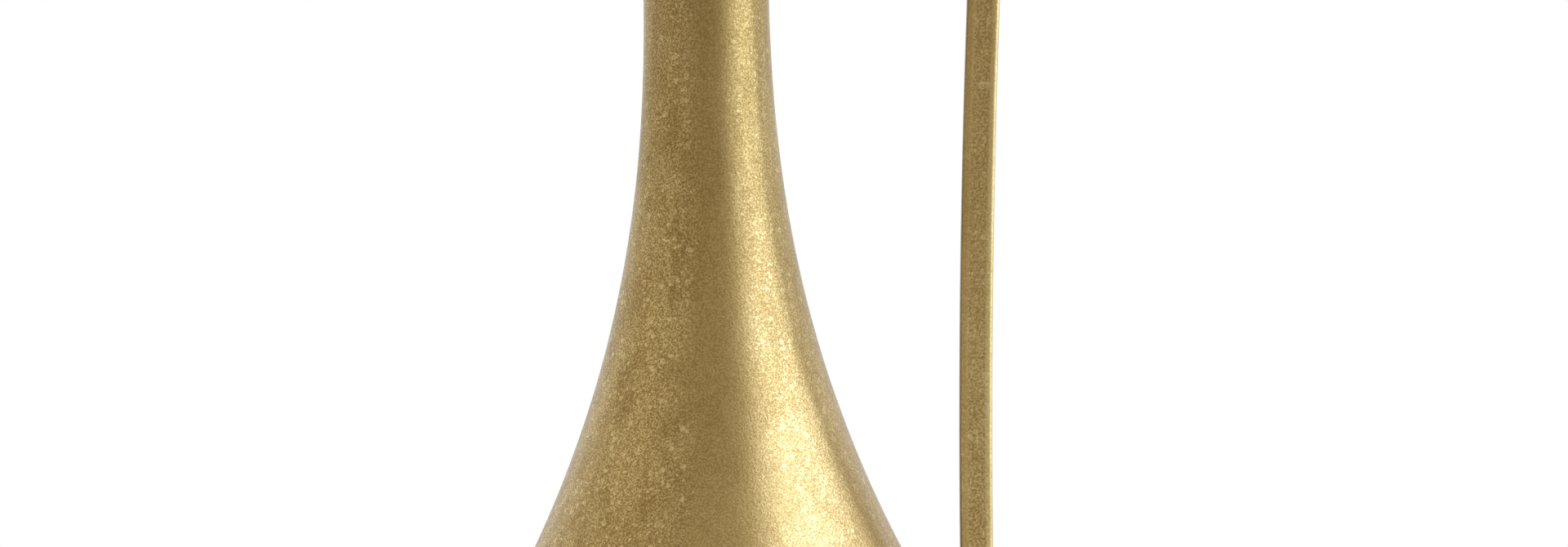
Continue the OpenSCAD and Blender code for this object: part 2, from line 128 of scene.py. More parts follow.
def rounded(points, radius, steps=5, sharp=20):
    """The closed outline with each corner sharper than `sharp` degrees rounded off."""
    made = []
    n = len(points)
    for i in range(n):
        before, here, after = (Vector(points[(i + k) % n]) for k in (-1, 0, 1))
        a, b = before - here, after - here
        if a.length < TINY or b.length < TINY:
            continue
        turn = 180 - math.degrees(a.angle(b))
        on_axis = here.x < TINY
        if turn < sharp or on_axis:
            made.append(tuple(here))
            continue
        cut = min(radius * math.tan(math.radians(turn / 2)), a.length * 0.45, b.length * 0.45)
        start, end = here + a.normalized() * cut, here + b.normalized() * cut
        for k in range(steps + 1):
            t = k / steps
            made.append(tuple(start * (1 - t) ** 2 + here * 2 * t * (1 - t) + end * t * t))
    return made


def points_at(p, place):
    """Points of the path p; place() turns its length into their distances from its start."""
    run = np.concatenate([[0], np.cumsum(np.linalg.norm(np.diff(p, axis=0), axis=1))])
    at = place(run[-1])
    return [tuple(q) for q in np.stack([np.interp(at, run, p[:, k]) for k in range(p.shape[1])], 1)]


def resampled(path, step):
    """The open path with points about `step` apart."""
    return points_at(np.array(path, float),
                     lambda length: np.linspace(0, length, max(int(length / step), 2) + 1))


def resampled_closed(outline, count):
    """The closed outline with `count` points, evenly spaced."""
    return points_at(np.array([*outline, outline[0]], float),
                     lambda length: np.linspace(0, length, count, endpoint=False))


def smooth_range(values, low, high):
    """Smooth step from 0 at `low` to 1 at `high`."""
    t = np.clip((values - low) / (high - low), 0, 1)
    return t * t * (3 - 2 * t)


# ---- Mesh pieces ----------------------------------------------------------------------------

PIECES = []     # (object, body) of every piece made here


def mesh_object(name, verts, faces):
    """A closed, smoothly shaded mesh from millimetre vertices."""
    mesh = bpy.data.meshes.new(name)
    mesh.from_pydata([tuple(c * MM for c in v) for v in verts], [], [tuple(f) for f in faces])
    shape = bmesh.new()
    shape.from_mesh(mesh)
    bmesh.ops.remove_doubles(shape, verts=shape.verts, dist=1e-7)
    bmesh.ops.recalc_face_normals(shape, faces=shape.faces)
    shape.to_mesh(mesh)
    shape.free()
    mesh.polygons.foreach_set("use_smooth", [True] * len(mesh.polygons))
    obj = bpy.data.objects.new(name, mesh)
    bpy.context.scene.collection.objects.link(obj)
    return obj


def mesh_piece(name, verts, faces, body, material, nodes):
    """A mesh in one of the brasses, riding on a CAD body in place of the CAD nodes it stands for."""
    obj = mesh_object(name, verts, faces)
    obj.data.materials.append(MATERIALS[material])
    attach(obj, body)
    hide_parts(*nodes)
    PIECES.append((obj, body))
    return obj


def turned_mesh(outline, steps):
    """Vertices and faces of a closed outline of (radius, height) turned about Z."""
    angles = np.linspace(0, 2 * math.pi, steps, endpoint=False)
    verts, rings = [], []
    for r, z in outline:
        if r < TINY:
            rings.append([len(verts)] * steps)
            verts.append((0.0, 0.0, z))
        else:
            rings.append(list(range(len(verts), len(verts) + steps)))
            verts += [(r * math.cos(a), r * math.sin(a), z) for a in angles]
    faces = []
    for k, low in enumerate(rings):
        high = rings[(k + 1) % len(rings)]
        for i in range(steps):
            j = (i + 1) % steps
            corners = [low[i], low[j], high[j], high[i]]
            corners = [c for m, c in enumerate(corners) if c != corners[m - 1]]
            if len(set(corners)) > 2:
                faces.append(corners)
    return verts, faces


def turned(name, outline, body, material, nodes, steps):
    """A piece that a closed outline of (radius, height) makes when it is turned about Z."""
    return mesh_piece(name, *turned_mesh(outline, steps), body, material, nodes)


def loft_mesh(rings, closed_ends=True):
    """Vertices and faces through rings that have the same number of points."""
    n = len(rings[0])
    verts = [v for ring in rings for v in ring]
    faces = []
    for k in range(len(rings) - 1):
        for j in range(n):
            a, b = k * n + j, k * n + (j + 1) % n
            faces.append([a, b, b + n, a + n])
    if closed_ends:
        last = (len(rings) - 1) * n
        faces.append(list(range(n))[::-1])
        faces.append([last + j for j in range(n)])
    return verts, faces


def plate_mesh(outline, low_y, high_y):
    """A flat plate outlined in X and Z, between two heights in Y."""
    rings = [[(x, y, z) for x, z in outline] for y in (low_y, high_y)]
    return loft_mesh(rings)


def placed(verts, origin, direction):
    """Vertices modelled along +Z, moved to an origin with +Z turned to a direction."""
    turn = Vector(direction).to_track_quat("Z", "Y").to_matrix()
    return [tuple(turn @ Vector(v) + Vector(origin)) for v in verts]


def joined(parts):
    """One vertex and face list out of several."""
    verts, faces = [], []
    for part_verts, part_faces in parts:
        faces += [[i + len(verts) for i in face] for face in part_faces]
        verts += part_verts
    return verts, faces


def both_sides(part):
    """The part and its mirror image across the plane y = 0."""
    verts, faces = part
    return joined([part, ([(x, -y, z) for x, y, z in verts], [face[::-1] for face in faces])])


def moved(part, x, z):
    verts, faces = part
    return [(vx + x, vy, vz + z) for vx, vy, vz in verts], faces


def vertex_vectors(mesh, name):
    """Each vertex's "co" or "normal", as rows of three numbers."""
    values = np.zeros(len(mesh.vertices) * 3)
    mesh.vertices.foreach_get(name, values)
    return values.reshape(-1, 3)


def read_layer(mesh, name):
    """One number for each vertex, from the mesh's attribute."""
    values = np.zeros(len(mesh.vertices))
    mesh.attributes[name].data.foreach_get("value", values)
    return values


def write_layer(mesh, name, values):
    layer = mesh.attributes.get(name) or mesh.attributes.new(name, "FLOAT", "POINT")
    layer.data.foreach_set("value", values.astype(np.float32))


def dented(obj, depth, size, seed):
    """Unevenness left by the hammer: the surface goes in by up to `depth`, never out."""
    mesh = obj.data
    offset = Vector((seed * 7.3, seed * 3.1, seed * 5.7))
    for v, normal in zip(mesh.vertices, vertex_vectors(mesh, "normal")):
        large = noise.noise(v.co / (size * MM) + offset)
        small = noise.noise(v.co / (size * 0.35 * MM) + offset)
        level = large + 0.4 * small
        v.co -= Vector(normal) * (depth * MM * min(max(0.5 + 0.5 * level, 0), 1))
    mesh.update()


def mark_edges(obj, passes=2, strength=1.0):
    """Writes the attribute `wear_grime_and_painted_light`: above 0 on edges that wear bright, below 0 in corners that stay dark."""
    mesh = obj.data
    count = len(mesh.vertices)
    co, normal = vertex_vectors(mesh, "co") / MM, vertex_vectors(mesh, "normal")
    ends = np.zeros(len(mesh.edges) * 2, int)
    mesh.edges.foreach_get("vertices", ends)
    a, b = ends.reshape(-1, 2).T
    share = np.maximum(np.bincount(a, minlength=count) + np.bincount(b, minlength=count), 1)
    along = co[b] - co[a]
    length = np.maximum(np.linalg.norm(along, axis=1), TINY)
    bend_a = -(along * normal[a]).sum(1) / length**2
    bend_b = (along * normal[b]).sum(1) / length**2
    bend = (np.bincount(a, bend_a, count) + np.bincount(b, bend_b, count)) / share
    for _ in range(passes):
        bend = 0.4 * bend + 0.6 * (np.bincount(a, bend[b], count) + np.bincount(b, bend[a], count)) / share
    write_layer(mesh, "wear_grime_and_painted_light", np.clip(bend * strength, -1, 1))


def gather_grime(pieces):
    """Patina that stays dark along the joints between pieces of one body, written into `wear_grime_and_painted_light` on both."""
    reach, strength = 1.8 * MM, 0.5
    depsgraph = bpy.context.evaluated_depsgraph_get()
    known = [(obj, body, vertex_vectors(obj.data, "co"), BVHTree.FromObject(obj, depsgraph))
             for obj, body in pieces]
    for obj, body, co, _ in known:
        dark = np.zeros(len(co))
        for other, other_body, other_co, tree in known:
            if other is obj or other_body != body:
                continue
            low, high = other_co.min(0) - reach, other_co.max(0) + reach
            for i in np.nonzero(((co > low) & (co < high)).all(1))[0]:
                distance = tree.find_nearest(co[i], reach)[3]
                if distance is not None:
                    dark[i] = max(dark[i], 1 - distance / reach)
        write_layer(obj.data, "wear_grime_and_painted_light", np.clip(read_layer(obj.data, "wear_grime_and_painted_light") - strength * dark, -1, 1))


def weld_slivers(mesh):
    """Takes out the tiny faces that a cut leaves, and what hangs loose after that."""
    size = 0.02 * MM
    shape = bmesh.new()
    shape.from_mesh(mesh)
    bmesh.ops.remove_doubles(shape, verts=shape.verts, dist=size)
    bmesh.ops.dissolve_degenerate(shape, edges=shape.edges, dist=size)
    seen = {}
    for face in shape.faces:
        seen.setdefault(frozenset(v.index for v in face.verts), []).append(face)
    doubled = [face for faces in seen.values() if len(faces) > 1 for face in faces]
    bmesh.ops.delete(shape, geom=doubled, context="FACES")
    shape.to_mesh(mesh)
    shape.free()


def apply_modifiers(obj):
    """Makes the result of the object's modifiers its own mesh."""
    bpy.context.view_layer.update()
    made = bpy.data.meshes.new_from_object(obj.evaluated_get(bpy.context.evaluated_depsgraph_get()))
    obj.modifiers.clear()
    old, obj.data = obj.data, made
    bpy.data.meshes.remove(old)


def cast_together(obj, voxel, passes):
    """Melts the overlapping solids of a piece into one casting with soft inner corners."""
    remesh = obj.modifiers.new("one_casting", "REMESH")
    remesh.mode = "VOXEL"
    remesh.voxel_size = voxel * MM
    soften = obj.modifiers.new("soft_corners", "SMOOTH")
    soften.factor = 0.5
    soften.iterations = passes
    apply_modifiers(obj)
    obj.data.polygons.foreach_set("use_smooth", [True] * len(obj.data.polygons))


# ---- Materials ------------------------------------------------------------------------------

MATERIALS = {}


class Graph:
    """A node tree, with the kinds of node that both the metal and the light are made of."""

    def __init__(self, tree):
        self.tree = tree

    def new(self, kind):
        return self.tree.nodes.new(kind)

    def split(self, vector):
        """The three outputs X, Y and Z of a vector."""
        node = self.new("ShaderNodeSeparateXYZ")
        self.link(vector, node.inputs[0])
        return list(node.outputs)

    def link(self, value, socket):
        if isinstance(value, (int, float)):
            socket.default_value = value
        elif isinstance(value, tuple):
            socket.default_value = (*value, 1.0)
        else:
            self.tree.links.new(value, socket)

    def maths(self, operation, *values, clamp=False):
        node = self.new("ShaderNodeMath")
        node.operation = operation
        node.use_clamp = clamp
        for value, socket in zip(values, node.inputs):
            self.link(value, socket)
        return node.outputs["Value"]

    def step(self, value, low, high, to_low=0.0, to_high=1.0):
        """Smooth step of a value from low..high to to_low..to_high."""
        node = self.new("ShaderNodeMapRange")
        node.interpolation_type = "SMOOTHSTEP"
        self.link(value, node.inputs["Value"])
        for name, number in (("From Min", low), ("From Max", high), ("To Min", to_low), ("To Max", to_high)):
            node.inputs[name].default_value = number
        return node.outputs["Result"]

    def mix(self, factor, a, b):
        """Colour a where the factor is 0, and b where it is 1."""
        node = self.new("ShaderNodeMix")
        node.data_type = "RGBA"
        self.link(factor, node.inputs["Factor"])
        self.link(a, node.inputs["A"])
        self.link(b, node.inputs["B"])
        return node.outputs["Result"]


class Nodes(Graph):
    """Short ways to add shader nodes to one material."""

    def __init__(self, name):
        self.material = bpy.data.materials.new(name)
        self.material.use_nodes = True
        super().__init__(self.material.node_tree)
        self.shader = self.tree.nodes["Principled BSDF"]
        self.shader.inputs["Metallic"].default_value = 1.0
        self.place = self.new("ShaderNodeTexCoord").outputs["Object"]

    def noise(self, size, detail=3.0, rough=0.55, stretch=None, offset=0.0):
        """Cloudy pattern from 0 to 1 with features about `size` millimetres across."""
        node = self.new("ShaderNodeTexNoise")
        node.inputs["Scale"].default_value = 1 / (size * MM)
        node.inputs["Detail"].default_value = detail
        node.inputs["Roughness"].default_value = rough
        self.link(self.moved(stretch, offset), node.inputs["Vector"])
        return node.outputs["Fac"]

    def cells(self, size, offset):
        """Distance from the middle of round cells about `size` millimetres apart."""
        node = self.new("ShaderNodeTexVoronoi")
        node.feature = "SMOOTH_F1"
        node.inputs["Scale"].default_value = 1 / (size * MM)
        node.inputs["Smoothness"].default_value = 0.25
        self.link(self.moved(None, offset), node.inputs["Vector"])
        return node.outputs["Distance"]

    def spots(self, size, least, most, offset):
        """Round spots with clear edges, their radii from `least` to `most` cells of `size` millimetres."""
        node = self.new("ShaderNodeTexVoronoi")
        node.inputs["Scale"].default_value = 1 / (size * MM)
        self.link(self.moved(None, offset), node.inputs["Vector"])
        chance = self.new("ShaderNodeSeparateColor")
        self.link(node.outputs["Color"], chance.inputs[0])
        reach = self.maths("MULTIPLY_ADD", chance.outputs[0], most - least, least)
        return self.step(self.maths("SUBTRACT", reach, node.outputs["Distance"]), -0.02, 0.05)

    def moved(self, stretch, offset):
        """The place where a pattern is read, stretched and shifted."""
        if stretch is None and offset == 0.0:
            return self.place
        node = self.new("ShaderNodeMapping")
        node.inputs["Location"].default_value = (offset, offset * 0.7, offset * 0.3)
        node.inputs["Scale"].default_value = stretch or (1, 1, 1)
        self.link(self.place, node.inputs["Vector"])
        return node.outputs["Vector"]

    def across(self):
        """Where a place lies round the pot: -1 at the spout, 0 mid-side, 1 at the handle."""
        x, y, _ = self.split(self.place)
        squared = self.maths("MULTIPLY_ADD", x, x, self.maths("MULTIPLY_ADD", y, y, TINY))
        return self.maths("DIVIDE", x, self.maths("SQRT", squared))

    def attribute(self, name):
        """A value written on the mesh, or 0 where the mesh has none."""
        node = self.new("ShaderNodeAttribute")
        node.attribute_name = name
        return node.outputs["Fac"]

    def bump(self, height, depth, after=None):
        """Bump of `depth` millimetres for a height pattern from 0 to 1."""
        node = self.new("ShaderNodeBump")
        node.inputs["Strength"].default_value = 1.0
        node.inputs["Distance"].default_value = depth * MM
        self.link(height, node.inputs["Height"])
        if after is not None:
            self.link(after, node.inputs["Normal"])
        return node.outputs["Normal"]


BROWN = (0.285, 0.196, 0.067)   # patina in the low places
TAN = (0.464, 0.341, 0.136)     # the general tone
PALE = (0.73, 0.61, 0.325)      # round spots and rubbed edges, and the painted highlight along the handle's outer side
TARNISH_AND_PAINTED_SHADE = (0.10, 0.080, 0.045)  # the darkest corners, which nothing ever rubs, and the painted shade along the handle's side towards the neck

# The tint runs from 0 (brown) over 0.5 (tan) to about 1.1 (pale). It starts at the general tone, and
# the patterns move it by these weights.
GENERAL_TONE = 0.46
LARGE_SPOTS, SMALL_SPOTS = 0.46, 0.36
COARSE_GRAIN, FINE_GRAIN = 0.56, 0.20
# Darkens corners and joints, and makes the painted shade on the handle's side towards the neck
GRIME_AND_PAINTED_SHADE = 0.45
WORN_SMOOTHER = 0.08    # how much less rough the palest places are
WIPED = 0.10            # where across() puts the middle of the wiped stretch


def antique_brass(name, grain, tone=1.0, rub_and_painted_highlight=0.5, rough=0.30, relief=0.06, pits=0.0, spotted=1.0):
    """Satin brass with a fine crawling grain, under a thin brown patina with patches of pale round spots."""
    m = Nodes(name)
    # edges reads wear and dark corners and joints, and on the handle a painted highlight and painted shade
    across, edges = m.across(), m.attribute("wear_grime_and_painted_light")

    # Less patina where the pot is wiped most: down the middle of its two broad sides
    from_middle = m.maths("ABSOLUTE", m.maths("SUBTRACT", across, WIPED))
    aged = m.step(m.maths("MULTIPLY_ADD", m.noise(18, 3, offset=0.23), 0.5, from_middle), 0.34, 0.80)

    # Pale round spots of two sizes, in patches, and the crawling grain
    large = m.maths("MULTIPLY", m.spots(2.4 * grain, 0.16, 0.34, 0.17), LARGE_SPOTS)
    small = m.maths("MULTIPLY", m.spots(1.3 * grain, 0.18, 0.36, 0.71), SMALL_SPOTS)
    patches = m.step(m.noise(6, 2, offset=0.31), 0.38, 0.55)
    spots = m.maths("MULTIPLY", m.maths("MAXIMUM", large, small), patches)
    spots = m.maths("MULTIPLY", spots, m.step(aged, 0.0, 0.8, 0.3, 1.0))
    worms = m.step(m.noise(0.43 * grain, 1, 0.5, offset=0.12), 0.40, 0.60, -0.5, 0.5)
    fine = m.step(m.noise(0.25 * grain, 1, 0.5, offset=0.77), 0.38, 0.62, -0.5, 0.5)
    crawl = m.maths("MULTIPLY_ADD", worms, COARSE_GRAIN, m.maths("MULTIPLY", fine, FINE_GRAIN))
    marks = m.maths("ADD", spots, crawl)

    # The hand keeps the handle's side and the filed borders cleaner
    filed = m.step(m.attribute("filed"), 0.0, 1.0, 1.0, 0.4)
    kept = m.maths("MULTIPLY", m.step(across, -0.2, 0.5, 1.15, 0.92), filed)
    depth = m.maths("MULTIPLY", m.step(aged, 0.0, 1.0, 0.62, 1.0), m.maths("MULTIPLY", kept, spotted))
    tint = m.maths("MULTIPLY_ADD", marks, depth, GENERAL_TONE)

    # Brown blots, clouds and streaks
    blots = m.step(m.noise(6, 4, 0.6, (1, 1, 0.35), 0.63), 0.45, 0.68, 0.02, -0.20)
    blotted = m.maths("MULTIPLY", aged, m.step(across, -0.1, 0.5, 1.1, 0.5))
    tint = m.maths("MULTIPLY_ADD", blots, blotted, tint)
    tint = m.maths("ADD", tint, m.step(m.noise(24, 3), 0.3, 0.7, -0.07, 0.07))
    streaks = m.noise(3.2, 3, stretch=(1, 1, 0.06), offset=0.52)
    tint = m.maths("ADD", tint, m.step(streaks, 0.3, 0.7, -0.05, 0.05))

    # Edges rubbed bright, corners and joints left dark, and on the handle a painted highlight along its outer side
    # and painted shade along its side towards the neck
    tint = m.maths("ADD", tint, m.maths("MULTIPLY", m.step(edges, 0.03, 0.5), rub_and_painted_highlight))
    tint = m.maths("SUBTRACT", tint, m.maths("MULTIPLY", m.step(edges, -0.03, -0.3), GRIME_AND_PAINTED_SHADE))
    brown, tan, pale = (tuple(c * tone for c in colour) for colour in (BROWN, TAN, PALE))
    colour = m.mix(m.maths("MULTIPLY", tint, 2.0, clamp=True), brown, tan)
    colour = m.mix(m.maths("MULTIPLY_ADD", tint, 1.7, -0.85, clamp=True), colour, pale)
    colour = m.mix(m.step(edges, -0.25, -0.9), colour, TARNISH_AND_PAINTED_SHADE)
    m.link(colour, m.shader.inputs["Base Color"])

    worn = m.maths("MULTIPLY", m.step(tint, 0.1, 1.0), WORN_SMOOTHER)
    m.link(m.maths("SUBTRACT", rough + 0.04, worn), m.shader.inputs["Roughness"])
    m.shader.inputs["Coat Weight"].default_value = 0.22
    m.shader.inputs["Coat Roughness"].default_value = 0.3

    normal = m.bump(m.noise(0.62 * grain, 2, 0.6, offset=0.44), relief)
    if pits:
        holes = m.step(m.cells(1.3, 0.4), 0.10, 0.42)
        pitted = m.step(m.noise(3.2, 2, offset=0.9), 0.4, 0.7)
        normal = m.bump(m.maths("MULTIPLY", holes, pitted), pits, normal)
    m.link(normal, m.shader.inputs["Normal"])
    MATERIALS[name] = m.material


antique_brass("body_brass", grain=1.0)
antique_brass("cast_brass", grain=1.3, tone=1.06, rough=0.36, rub_and_painted_highlight=0.45, relief=0.05, pits=0.03)
antique_brass("worn_brass", grain=0.9, tone=1.12, rough=0.27, rub_and_painted_highlight=0.6, spotted=0.6)
antique_brass("inner_brass", grain=1.1, tone=0.62, rough=0.42, rub_and_painted_highlight=0.2, spotted=0.4)


# ---- Driving dimensions, from the frame and the same rules as the CAD source ---------------------

belly_r = box_mm("belly_bowl")[1].x
belly_z, neck_top = span_z("neck_shell")
foot_r, _, foot_h = box_mm("foot_ring")[1]
rim_r, _, rim_z = box_mm("mouth_cup")[1]
flange_z, dome_z = span_z("lid_dome")
flange_r = box_mm("lid_dome")[1].x
WALL = 1.5
FILM = 0.05                      # gap between two pieces that fit together
WAIST_R = 15.37
WAIST_Z = neck_top - 5.25
FLARE_GAIN, FLARE_SPAN, FLARE_POWER = 29.2, 140.0, 2.36
SHOULDER_Z = 102.0               # where the flare hands over to the round shoulder
SHOULDER_REACH = 34.0            # drop from there to the next control point of its curve
HINGE = [value / MM for value in frame["joints"][0]["pos_m"]]


def flare_r(z):
    """Outer radius of the neck: a power curve that starts at the waist."""
    return WAIST_R + FLARE_GAIN * (max(WAIST_Z - z, 0) / FLARE_SPAN) ** FLARE_POWER


def flare_slope(z):
    return FLARE_GAIN * FLARE_POWER / FLARE_SPAN * ((WAIST_Z - z) / FLARE_SPAN) ** (FLARE_POWER - 1)


# Outer walls, from the bottom up
shoulder_r = flare_r(SHOULDER_Z)
shoulder_path = bezier([
    (belly_r, belly_z),
    (belly_r, belly_z + 16),
    (shoulder_r + SHOULDER_REACH * flare_slope(SHOULDER_Z), SHOULDER_Z - SHOULDER_REACH),
    (shoulder_r, SHOULDER_Z),
], 60)
flare_path = [(flare_r(z), z) for z in np.linspace(SHOULDER_Z, WAIST_Z, 120)[1:]]
neck_path = shoulder_path + flare_path + [(WAIST_R, neck_top)]
bowl_curve = bezier([(55, foot_h), (67, 10), (belly_r, belly_z - 16), (belly_r, belly_z)], 50)
cup_foot_z = neck_top + 5
cup_path = bezier([
    (WAIST_R, cup_foot_z),
    (WAIST_R, cup_foot_z + 14),
    (rim_r - 6, rim_z - 22),
    (rim_r, rim_z),
], 70)


def wall_at(path, z):
    """Radius and outward normal of a turned wall at a height."""
    p = np.array(path)
    order = np.argsort(p[:, 1])

    def radius(height):
        return float(np.interp(height, p[order, 1], p[order, 0]))

    step = 0.4
    rise = radius(z + step) - radius(z - step)
    return radius(z), Vector((2 * step, -rise)).normalized()


# ---- Pot ------------------------------------------------------------------------------------

def make_neck():
    outer = resampled(neck_path, 1.05)
    inner = resampled(shifted(neck_path, -WALL), 3.5)[::-1]
    neck = turned("neck", rounded(outer + inner, 0.35), POT, "body_brass", ["neck_shell"], 320)
    dented(neck, 0.07, 17, 1)
    mark_edges(neck)


def make_bowl():
    lip = belly_r - WALL - 0.5
    low = [(0, foot_h + 1.5), (8, foot_h + 1.5), (8.5, foot_h + 1.3), (9, foot_h + 1.5)]
    low += [(24, foot_h + 1.5), (24.4, foot_h + 1.35), (24.8, foot_h + 1.5)]
    low += resampled([(24.8, foot_h + 1.5), (46, foot_h + 1.5)], 4)[1:] + [(50, foot_h)]
    outer = resampled(bowl_curve, 1.05)
    lap = [(lip, belly_z), (lip, belly_z + 5), (lip - WALL, belly_z + 5), (lip - WALL, belly_z)]
    inner = [q for q in resampled(shifted(low + outer, -WALL), 3.0) if q[1] < belly_z - 3][::-1]
    bowl = turned("bowl", rounded(low + outer + lap + inner, 0.35), POT, "body_brass", ["belly_bowl"], 320)
    dented(bowl, 0.07, 17, 2)
    mark_edges(bowl)


def make_foot():
    outline = [(51, 0), (51, foot_h), (55, foot_h)]
    outline += bezier([(55.6, foot_h - 0.3), (56, foot_h - 3), (57.5, 3.4), (foot_r - 0.8, 2.9)], 16)
    outline += arc((foot_r - 1.45, 1.45), 1.45, 80, -80, 12) + [(foot_r - 1.6, 0)]
    foot = turned("foot", rounded(outline, 0.5), POT, "body_brass", ["foot_ring"], 256)
    mark_edges(foot)


def make_collar():
    """A bead between two thin fillets."""
    low, high = span_z("waist_collar")
    middle = (low + high) / 2
    fillet, bead = WAIST_R + 0.95, WAIST_R + 1.4
    outline = [(WAIST_R + FILM, high), (WAIST_R + FILM, low)]
    outline += [(WAIST_R + 0.9, low), *arc((fillet, low + 1.0), 1.0, -70, 60, 10)]
    outline += [(WAIST_R + 1.3, middle - 2.35), *arc((bead, middle), 2.4, -72, 72, 18)]
    outline += [(WAIST_R + 1.3, middle + 2.35)]
    outline += [*arc((fillet, high - 1.0), 1.0, -60, 70, 10), (WAIST_R + 0.9, high)]
    collar = turned("collar", rounded(outline, 0.2), POT, "worn_brass", ["waist_collar"], 160)
    mark_edges(collar)


def window_outline():
    """The window between mouth and spout, in Y and Z: round below, with two round corners above."""
    low, high, half, corner, round_r = 276, 299, 8.5, 2.5, 4
    right = arc((half - corner, high - corner), corner, 0, 90, 8)
    left = arc((corner - half, high - corner), corner, 90, 180, 8)
    return arc((0, low + round_r), round_r, 180, 360, 16) + right + left


def make_cup():
    spigot = WAIST_R - WALL - FILM
    inner = [(r, min(z, rim_z)) for r, z in shifted(cup_path, -WALL)][::-1]
    outline = [(spigot, neck_top - 8), (spigot, neck_top), (WAIST_R, neck_top)]
    outline += resampled(cup_path, 0.9) + resampled(inner, 1.5)
    outline += [(spigot - 1, cup_foot_z - 2.5), (spigot - 1, neck_top - 8)]
    cup = turned("cup", rounded(outline, 0.25), POT, "body_brass", ["mouth_cup"], 256)
    dented(cup, 0.05, 12, 3)
    rings = [[(x, y, z) for y, z in window_outline()] for x in (-60, -2)]
    cutter = mesh_object("window_cutter", *loft_mesh(rings))
    cut = cup.modifiers.new("window", "BOOLEAN")
    cut.operation = "DIFFERENCE"
    cut.solver = "EXACT"
    cut.object = cutter
    apply_modifiers(cup)
    bpy.data.objects.remove(cutter)
    weld_slivers(cup.data)
    mark_edges(cup)


def make_rim():
    middle = (rim_r + 0.5, rim_z - 2)
    wall = [(wall_at(cup_path, z)[0] + 0.04, z) for z in (rim_z, rim_z - 2, rim_z - 4)]
    outline = wall + arc(middle, 2, -90, 90, 24)
    rim = turned("rim", rounded(outline, 0.15), POT, "worn_brass", ["rim_bead"], 224)
    mark_edges(rim)


# ---- Spout ----------------------------------------------------------------------------------

beak_tip_x = box_mm("spout_beak")[0].x
beak_tip_z = box_mm("spout_beak")[1].z
BEAK_HALF, TIP_HALF = 15.0, 3.6
beak_keel = np.array([(-11, 261.5), (-43, 262), (-66, 283), (2.5 + beak_tip_x, beak_tip_z - 6.5)])
beak_top = np.array([(-11, 305.6), (-44, 302.5), (-74, 307), (beak_tip_x, beak_tip_z)])


def beak_half(s):
    return lerp(BEAK_HALF, TIP_HALF, s**0.85)


def beak_point(s, angle, inset):
    """A point of the beak's wall: angle runs from one top edge (0) under the keel to the other (180)."""
    top = curve_point(beak_top, s)
    drop = curve_point(beak_keel, s) - top
    low = drop * (1 - inset / np.linalg.norm(drop))
    half = beak_half(s) - inset
    side, depth = math.cos(math.radians(angle)), math.sin(math.radians(angle))
    return (top[0] + low[0] * depth, half * side, top[1] + low[1] * depth)


def beak_start(angle, inset):
    """Where along the beak its wall comes out of the cup."""
    low, high = 0.02, 0.7
    for _ in range(30):
        s = (low + high) / 2
        x, y, z = beak_point(s, angle, inset)
        inside = math.hypot(x, y) < wall_at(cup_path, z)[0] - 0.25
        low, high = (s, high) if inside else (low, s)
    return high


def make_spout():
    along, across = 110, 60
    angles = np.linspace(0, 180, across + 1)
    angles = 90 - 90 * np.cos(np.radians(angles)) * (0.75 + 0.25 * np.abs(np.cos(np.radians(angles))))
    outer_start = [beak_start(a, 0) for a in angles]
    inner_start = [beak_start(a, WALL) for a in angles]
    rings = []
    for i in range(along + 1):
        t = i / along
        outer = [beak_point(lerp(s0, 1, t), a, 0) for a, s0 in zip(angles, outer_start)]
        inner = [beak_point(lerp(s0, 1, t), a, WALL) for a, s0 in zip(angles, inner_start)]
        rings.append(outer + inner[::-1])
    n = across + 1
    verts, faces = loft_mesh(rings, closed_ends=False)
    last = along * 2 * n
    for j in range(across):
        faces.append([j, 2 * n - 1 - j, 2 * n - 2 - j, j + 1])
        faces.append([last + j, last + j + 1, last + 2 * n - 2 - j, last + 2 * n - 1 - j])
    spout = mesh_piece("spout", verts, faces, POT, "body_brass", ["spout_beak"])
    dented(spout, 0.05, 12, 4)
    mark_edges(spout)


def make_spout_wires():
    """Half-round wires along the beak's two top edges, drawn out to a soft end at the tip."""
    radius, start, steps, around = 1.3, 0.275, 110, 16
    rings = []
    for i in range(steps + 1):
        s = lerp(start, 0.9995, i / steps)
        top = curve_point(beak_top, s)
        ahead = curve_point(beak_top, min(s + 0.01, 1)) - curve_point(beak_top, s - 0.01)
        ahead /= np.linalg.norm(ahead)
        up = np.array([ahead[1], -ahead[0]])
        up = up if up[1] > 0 else -up
        end = min(1, (i + 1) / 5)
        size = radius * math.sqrt(1 - (1 - end) ** 2) if end < 1 else radius
        middle = beak_half(s) - WALL / 2
        ring = []
        for j in range(around + 1):
            a = math.pi * j / around
            lift = size * math.sin(a) + 0.03
            ring.append((top[0] + up[0] * lift, middle + size * math.cos(a), top[1] + up[1] * lift))
        rings.append(ring)
    wires = mesh_piece("spout_wires", *both_sides(loft_mesh(rings)), POT, "worn_brass", ["spout_edge_wires"])
    mark_edges(wires)


# ---- Brackets, hinge and handle ------------------------------------------------------------------

